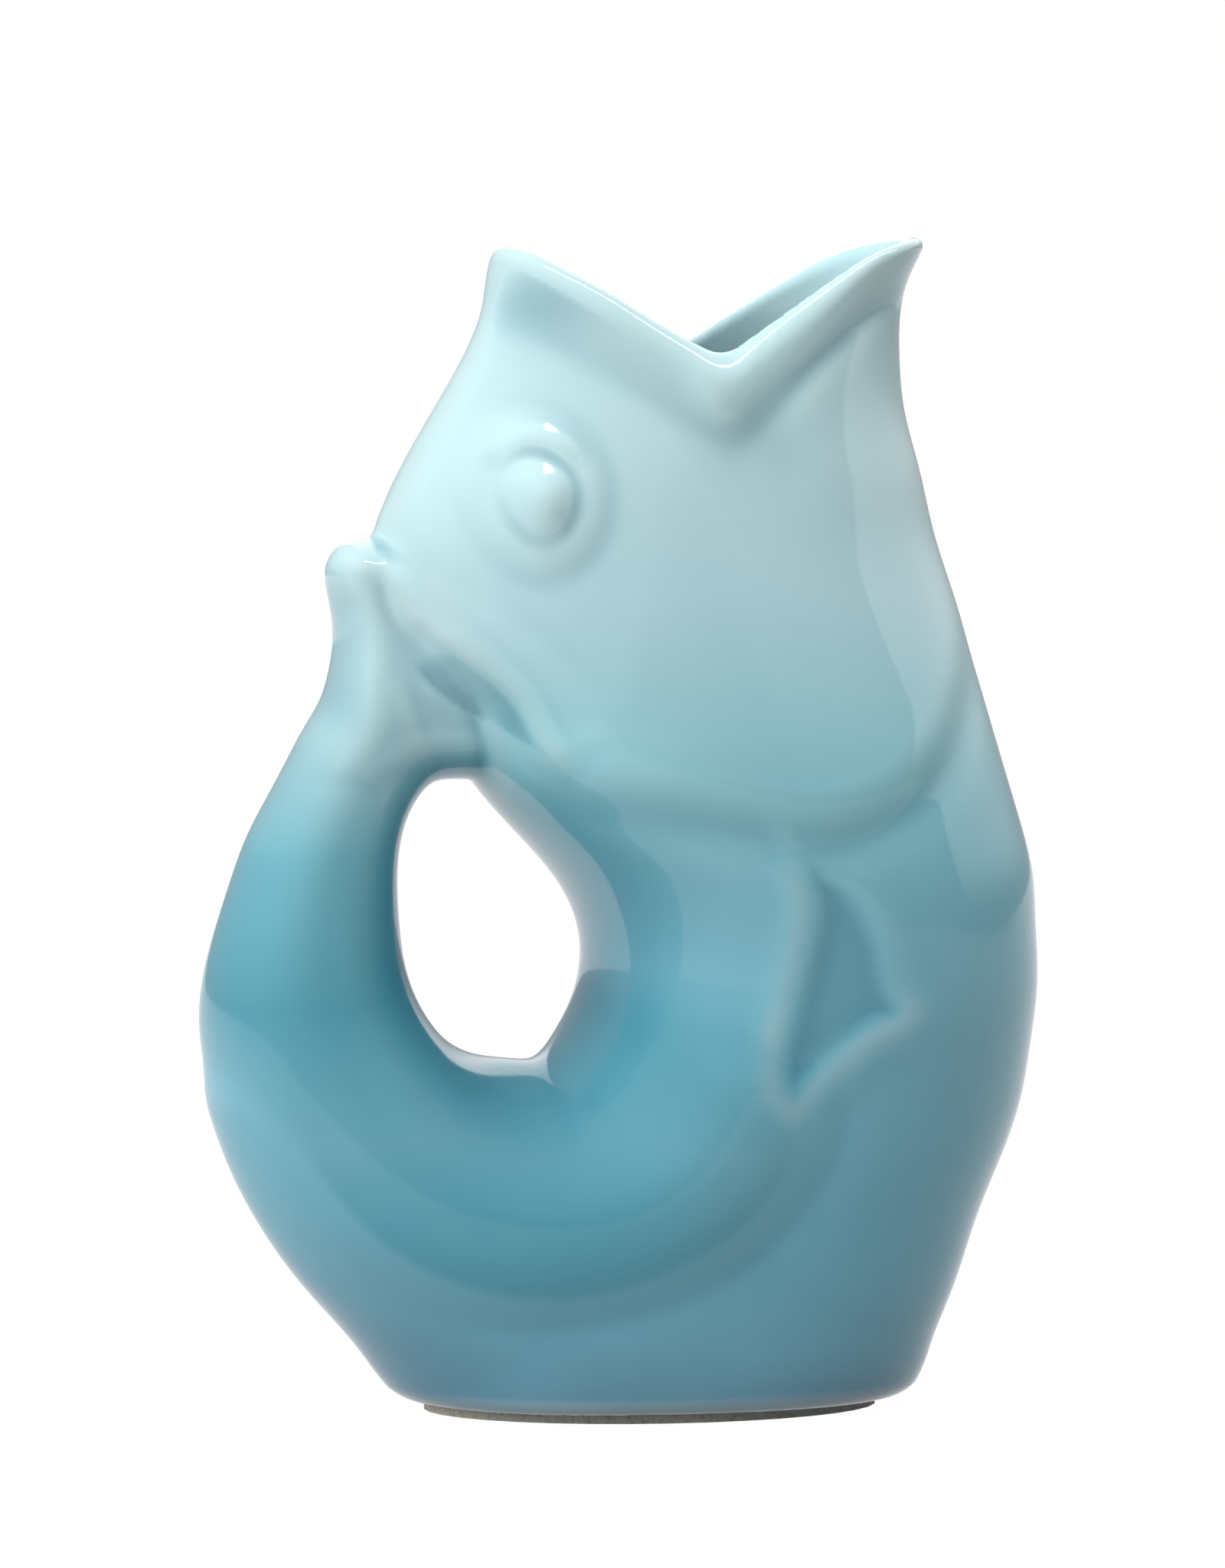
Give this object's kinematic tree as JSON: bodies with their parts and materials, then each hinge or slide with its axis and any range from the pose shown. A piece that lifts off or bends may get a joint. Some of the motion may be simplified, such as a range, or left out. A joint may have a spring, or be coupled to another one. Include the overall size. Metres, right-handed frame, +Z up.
{
  "type": "gurgle jug",
  "caption": "Glazed ceramic gurgle jug shaped as a standing fish: open mouth as pouring lip, hollow belly, and a hollow tail bent up as handle and air chamber.",
  "frame": {"origin": "middle of the jug's outline, on the plane that the foot ring rests on", "axes": "+Z up, +X towards the spout, +Y across the jug to the fish's left side"},
  "size_m": [0.1855, 0.119, 0.26],
  "materials": {
    "aqua_glaze": "glossy",
    "teal_glaze": "glossy",
    "bare_clay": "matte"
  },
  "bodies": {
    "root": {"lower_body": "teal_glaze", "belly": "teal_glaze", "head": "aqua_glaze", "mouth_rim": "aqua_glaze", "tail_tube": "teal_glaze", "tail_fin": "aqua_glaze", "foot_ring": "bare_clay", "left_eye": "aqua_glaze", "right_eye": "aqua_glaze", "left_eye_ring": "aqua_glaze", "right_eye_ring": "aqua_glaze", "left_pectoral_fin": "teal_glaze", "right_pectoral_fin": "teal_glaze"}
  },
  "joints": []
}
